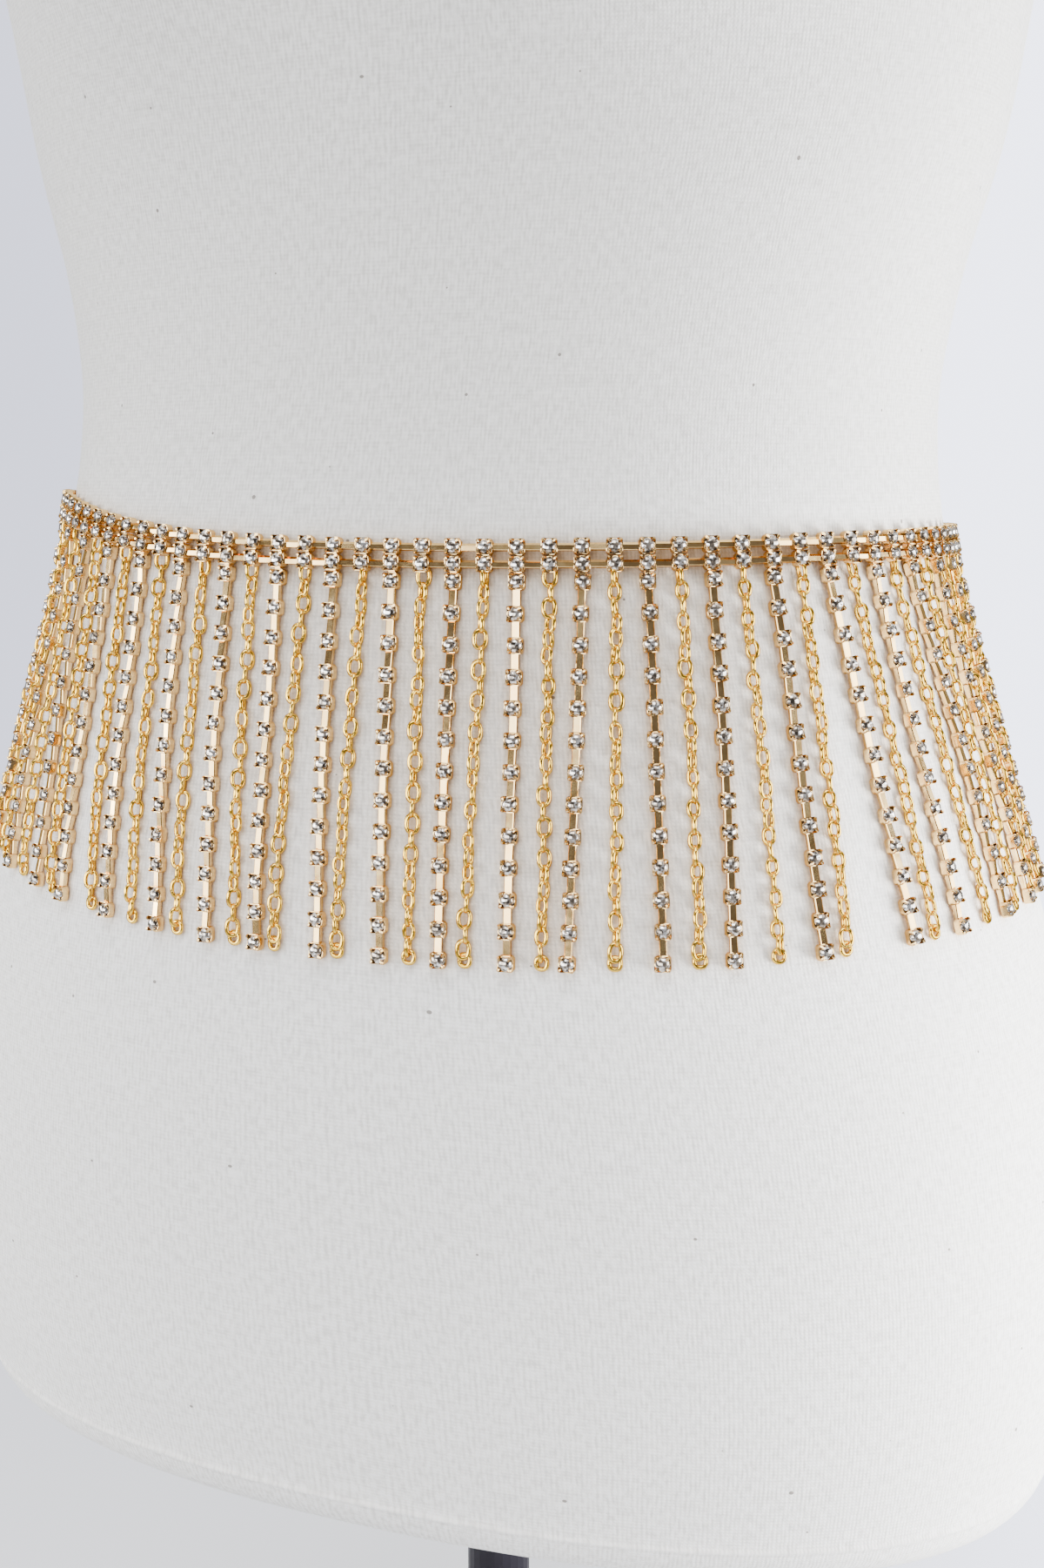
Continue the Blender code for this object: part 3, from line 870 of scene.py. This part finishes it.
def noise(tree, place, scale, detail, output="Fac"):
    """Cloudy unevenness over a place, given as a number or as a colour."""
    return node(tree, "ShaderNodeTexNoise", Vector=place, Scale=scale, Detail=detail).outputs[output]


def stretched(tree, place, across, upward):
    """A flat place with its scale changed across and upward."""
    return node(tree, "ShaderNodeMapping", Vector=place, Scale=(across, upward, 1.0)).outputs["Vector"]


def ramp(tree, source, stops):
    """Colours along a measure, from stops that each have a place and a colour."""
    made = node(tree, "ShaderNodeValToRGB", Fac=source)
    elements = made.color_ramp.elements
    for position, _ in stops[1:-1]:
        elements.new(position)
    for element, (position, colour) in zip(elements, stops):
        element.position = position
        element.color = (*colour, 1)
    return made.outputs["Color"]


def blended(tree, kind, share, first, second):
    """Two colours joined by a share of the second."""
    made = node(tree, "ShaderNodeMixRGB", blend_type=kind, Fac=share, Color1=first, Color2=second)
    return made.outputs["Color"]


def measured(tree, place, direction):
    """How far a place lies in a direction."""
    made = node(tree, "ShaderNodeVectorMath", operation="DOT_PRODUCT")
    feed(tree, made.inputs[0], place)
    feed(tree, made.inputs[1], direction)
    return made.outputs["Value"]


def gradient(tree, source, limits, lights):
    """A smooth run from one light to another as a measure goes from its lower to its upper limit."""
    made = node(tree, "ShaderNodeMapRange", data_type="FLOAT_VECTOR", interpolation_type="SMOOTHSTEP",
                Vector=source)
    values = {"From_Min_FLOAT3": (limits[0],) * 3, "From_Max_FLOAT3": (limits[1],) * 3,
              "To_Min_FLOAT3": lights[0], "To_Max_FLOAT3": lights[1]}
    for socket in made.inputs:
        if socket.identifier in values:
            socket.default_value = values[socket.identifier]
    return made.outputs["Vector"]


def window(tree, source, limits):
    """A measure's share: it grows from 0 to 1 between the first two limits and falls between the others."""
    rise = ranged(tree, source, limits[:2], interpolation_type="SMOOTHSTEP")
    fall = ranged(tree, source, limits[2:], 1.0, 0.0, interpolation_type="SMOOTHSTEP")
    return combined(tree, "MULTIPLY", rise, fall)


def new_material(name):
    made = bpy.data.materials.new(name)
    made.use_nodes = True
    return made, made.node_tree, made.node_tree.nodes["Principled BSDF"]


def gold_material(name, tones):
    """Bright gold plate, a little uneven in tone and polish."""
    made, tree, shader = new_material(name)
    cloud = noise(tree, node(tree, "ShaderNodeTexCoord").outputs["Object"], 420.0, 2.0)
    settle(tree, shader, Base_Color=ramp(tree, cloud, ((0.3, tones[0]), (0.7, tones[1]))),
           Roughness=ranged(tree, cloud, (0.0, 1.0), 0.08, 0.20), Metallic=1.0,
           Specular_Tint=(*GOLD_EDGE, 1))
    return made


def stone_material():
    """Clear cut glass with a foil back: each facet is a small mirror whose colour is its own painted
    reflection tone, standing in for the light inside the stone and the gold prongs it would mirror.
    """
    made, tree, shader = new_material("rhinestone_glass")
    tone = node(tree, "ShaderNodeAttribute", attribute_name="tone").outputs["Fac"]
    settle(tree, shader, Base_Color=ramp(tree, tone, FOIL_REFLECTION_RAMP), Metallic=0.85, Roughness=0.05,
           Coat_Weight=1.0, Coat_Roughness=0.02)
    return made


def cloth_material():
    """Off-white cover of the form: a fine plain weave with uneven threads and a few specks, with painted
    light below the hips and a painted warm shadow near the gold.
    """
    made, tree, shader = new_material("form_linen")
    wrap = node(tree, "ShaderNodeUVMap", uv_map="wrap").outputs["UV"]

    # The weave's threads, bent a little, with thicker and thinner ones among them
    bend = noise(tree, wrap, 160.0, 2.0, "Color")
    bent = blended(tree, "ADD", 0.12, stretched(tree, wrap, 345.0, 345.0), bend)
    across, upward = (node(tree, "ShaderNodeTexWave", wave_type="BANDS", bands_direction=axis,
                           Vector=bent, Scale=1.0, Distortion=0.0).outputs["Fac"] for axis in "XY")
    streak = noise(tree, stretched(tree, wrap, 1450.0, 330.0), 1.0, 3.0)
    cross = noise(tree, stretched(tree, wrap, 300.0, 1300.0), 1.0, 2.0)
    threads = combined(tree, "MULTIPLY_ADD", cross, 0.45, streak)
    upright = combined(tree, "MULTIPLY_ADD", across, 0.15, threads)
    tone = ramp(tree, combined(tree, "MULTIPLY_ADD", upward, 0.07, upright), LINEN)

    # Dark specks of uneven size
    speck = node(tree, "ShaderNodeTexVoronoi", voronoi_dimensions="2D", Vector=wrap, Scale=26.0,
                 Randomness=1.0)
    size = combined(tree, "MULTIPLY", speck.outputs["Color"], 0.016)
    spot = combined(tree, "LESS_THAN", speck.outputs["Distance"], size)
    tone = blended(tree, "MIX", spot, tone, (*LINEN_SPECK, 1))

    # Painted light and shade: the cloth is made brighter below the hips and darker above, where more light
    # falls on the hips; then a painted warm shadow close to the belt
    height = node(tree, "ShaderNodeSeparateXYZ", Vector=wrap).outputs["Y"]
    tone = blended(tree, "MULTIPLY", 1.0, tone, ranged(tree, height, (0.17, 0.28), 1.19, 0.96))
    # Painted shadow: where the belt and strands shade the cloth, ambient occlusion turns it tan, like light
    # thrown off the gold
    near = node(tree, "ShaderNodeAmbientOcclusion", samples=4, Distance=0.006).outputs["AO"]
    unshaded_share = ranged(tree, near, (0.35, 0.95))
    painted_warm_shadow = blended(tree, "MIX", unshaded_share, (*LINEN_PAINTED_SHADOW, 1), (*WHITE, 1))
    tone = blended(tree, "MULTIPLY", 1.0, tone, painted_warm_shadow)

    relief = combined(tree, "ADD", combined(tree, "MULTIPLY", across, upward), threads)
    bump = node(tree, "ShaderNodeBump", Strength=0.35, Distance=0.0002, Height=relief)
    settle(tree, shader, Base_Color=tone, Normal=bump.outputs["Normal"], Roughness=0.85,
           Sheen_Weight=0.15, Specular_IOR_Level=0.25)
    return made


def paint_material():
    """Black gloss paint with a slight waviness."""
    made, tree, shader = new_material("black_paint")
    cloud = noise(tree, node(tree, "ShaderNodeTexCoord").outputs["Object"], 90.0, 3.0)
    bump = node(tree, "ShaderNodeBump", Strength=0.06, Distance=0.0005, Height=cloud)
    settle(tree, shader, Base_Color=ramp(tree, cloud, PAINT), Specular_IOR_Level=0.14,
           Roughness=ranged(tree, cloud, (0.0, 1.0), 0.36, 0.50), Normal=bump.outputs["Normal"])
    return made


def finish_piece(piece, slot, *nodes):
    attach(piece, "root")
    if nodes:
        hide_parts(*nodes)


def build_camera():
    data = bpy.data.cameras.new("camera")
    data.sensor_width = SENSOR * 1000
    data.lens = FOCAL_PIXELS * SENSOR * 1000 / PHOTO_LONG_SIDE
    data.clip_start = CAMERA_NEAR
    camera = in_scene("camera", data)
    camera.location = RIGHTWARD * CAMERA_SIDE - AHEAD * CAMERA_DISTANCE + Vector((0, 0, CAMERA_HEIGHT))
    looking = AHEAD * math.cos(CAMERA_PITCH) - Vector((0, 0, math.sin(CAMERA_PITCH)))
    camera.rotation_mode = "QUATERNION"
    camera.rotation_quaternion = looking.to_track_quat("-Z", "Y")
    bpy.context.scene.camera = camera


def add_light(name, turn, rise, distance, width, height, radiance, matt, mirrored):
    """A soft panel that faces the waist, at a turn to the camera's right and a rise, both in degrees."""
    turn, rise = math.radians(turn) + CAMERA_AZIMUTH, math.radians(rise)
    towards = Vector((math.sin(turn) * math.cos(rise), -math.cos(turn) * math.cos(rise), math.sin(rise)))
    data = bpy.data.lights.new(name, "AREA")
    data.shape = "RECTANGLE"
    data.size = width
    data.size_y = height
    data.energy = radiance * math.pi * width * height
    light = in_scene(name, data)
    light.location = WAIST + towards * distance
    light.rotation_mode = "QUATERNION"
    light.rotation_quaternion = towards.to_track_quat("Z", "Y")
    light.visible_camera = False
    light.visible_diffuse = matt
    light.visible_glossy = mirrored


def build_surround():
    """A pale surround that is dark where the photographer stands."""
    world = bpy.data.worlds.new("studio")
    bpy.context.scene.world = world
    world.use_nodes = True
    tree = world.node_tree
    place = node(tree, "ShaderNodeTexCoord").outputs["Generated"]
    height = node(tree, "ShaderNodeSeparateXYZ", Vector=place).outputs["Z"]
    across = measured(tree, place, RIGHTWARD)
    behind = ranged(tree, measured(tree, place, -AHEAD), DARK_BACKWARD, interpolation_type="SMOOTHSTEP")
    column = combined(tree, "MULTIPLY", window(tree, across, DARK_ACROSS),
                      window(tree, height, DARK_UPWARD))
    above = window(tree, height, DARK_ABOVE)
    dark = combined(tree, "MULTIPLY", combined(tree, "MAXIMUM", column, above), behind)
    felt = gradient(tree, height, SURROUND_RANGE, SURROUND_LIGHT)
    felt = blended(tree, "MIX", dark, felt, (*DARK_LIGHT, 1))
    seen = gradient(tree, across, BACKDROP_RANGE, BACKDROP_LIGHT)
    camera_ray = node(tree, "ShaderNodeLightPath").outputs["Is Camera Ray"]
    settle(tree, tree.nodes["Background"], Color=blended(tree, "MIX", camera_ray, felt, seen), Strength=1.0)


def build_floor():
    """A plain pale floor that fades into the surround away from the stand, sooner to the right."""
    made, tree, shader = new_material("studio_floor")
    place = node(tree, "ShaderNodeTexCoord").outputs["Object"]
    reach = node(tree, "ShaderNodeVectorMath", operation="LENGTH", Vector=place).outputs["Value"]
    kept = combined(tree, "MULTIPLY", ranged(tree, reach, FLOOR_FADE, 1.0, 0.0),
                    ranged(tree, measured(tree, place, RIGHTWARD), FLOOR_SIDE_FADE, 1.0, 0.0))
    settle(tree, shader, Base_Color=(*FLOOR_COLOUR, 1), Roughness=0.8, Alpha=kept)
    mesh = bpy.data.meshes.new("floor")
    corners = [(x * FLOOR_HALF, y * FLOOR_HALF, 0) for x, y in ((-1, -1), (1, -1), (1, 1), (-1, 1))]
    mesh.from_pydata(corners, [], [(0, 1, 2, 3)])
    mesh.materials.append(made)
    in_scene("floor", mesh)


build_camera()
gold = gold_material("gold_plate", PLATE_GOLD)
link_gold = gold_material("link_gold", LINK_GOLD)
glass = stone_material()
linen = cloth_material()
paint = paint_material()

finish_piece(build_form(linen), "form_cover", "dress_form")

upper_row, lower_row, row_stones = Pile(), Pile(), Pile()
build_row(0.0, upper_row, row_stones)
build_row(ROW_PITCH, lower_row, row_stones)

# Strands of one kind go to two piles by turns, so that no piece grows too heavy
strand_metals, strand_stones, links = (Pile(), Pile()), Pile(), (Pile(), Pile())
for cup in range(CUP_COUNT):
    pile = cup % 4 // 2
    if is_link_strand(cup):
        build_link_strand(cup, links[pile])
    else:
        build_cup_strand(cup, strand_metals[pile], strand_stones)

finish_piece(upper_row.to_object("upper_row_metal", gold, METAL_SMOOTH), "gold", "band_top_row")
finish_piece(lower_row.to_object("lower_row_metal", gold, METAL_SMOOTH), "gold", "band_fringe")
finish_piece(row_stones.to_object("row_stones", glass), "rhinestone")
for number, pile in enumerate(strand_metals, 1):
    made = pile.to_object(f"cup_strand_metal_{number}", gold, METAL_SMOOTH)
    finish_piece(made, "gold", "band_fringe")
finish_piece(strand_stones.to_object("cup_strand_stones", glass), "rhinestone")
for number, pile in enumerate(links, 1):
    made = pile.to_object(f"link_strands_{number}", link_gold, LINK_SMOOTH)
    finish_piece(made, "gold", "band_fringe")

for name, piece in build_clasp(gold):
    finish_piece(piece, "gold", name)

for name in ("pole", "base_plate"):
    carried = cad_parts[name]
    carried.data.materials.clear()
    carried.data.materials.append(paint)

build_floor()
for panel in PANELS:
    add_light(**dict(zip(PANEL_COLUMNS, panel)))
build_surround()
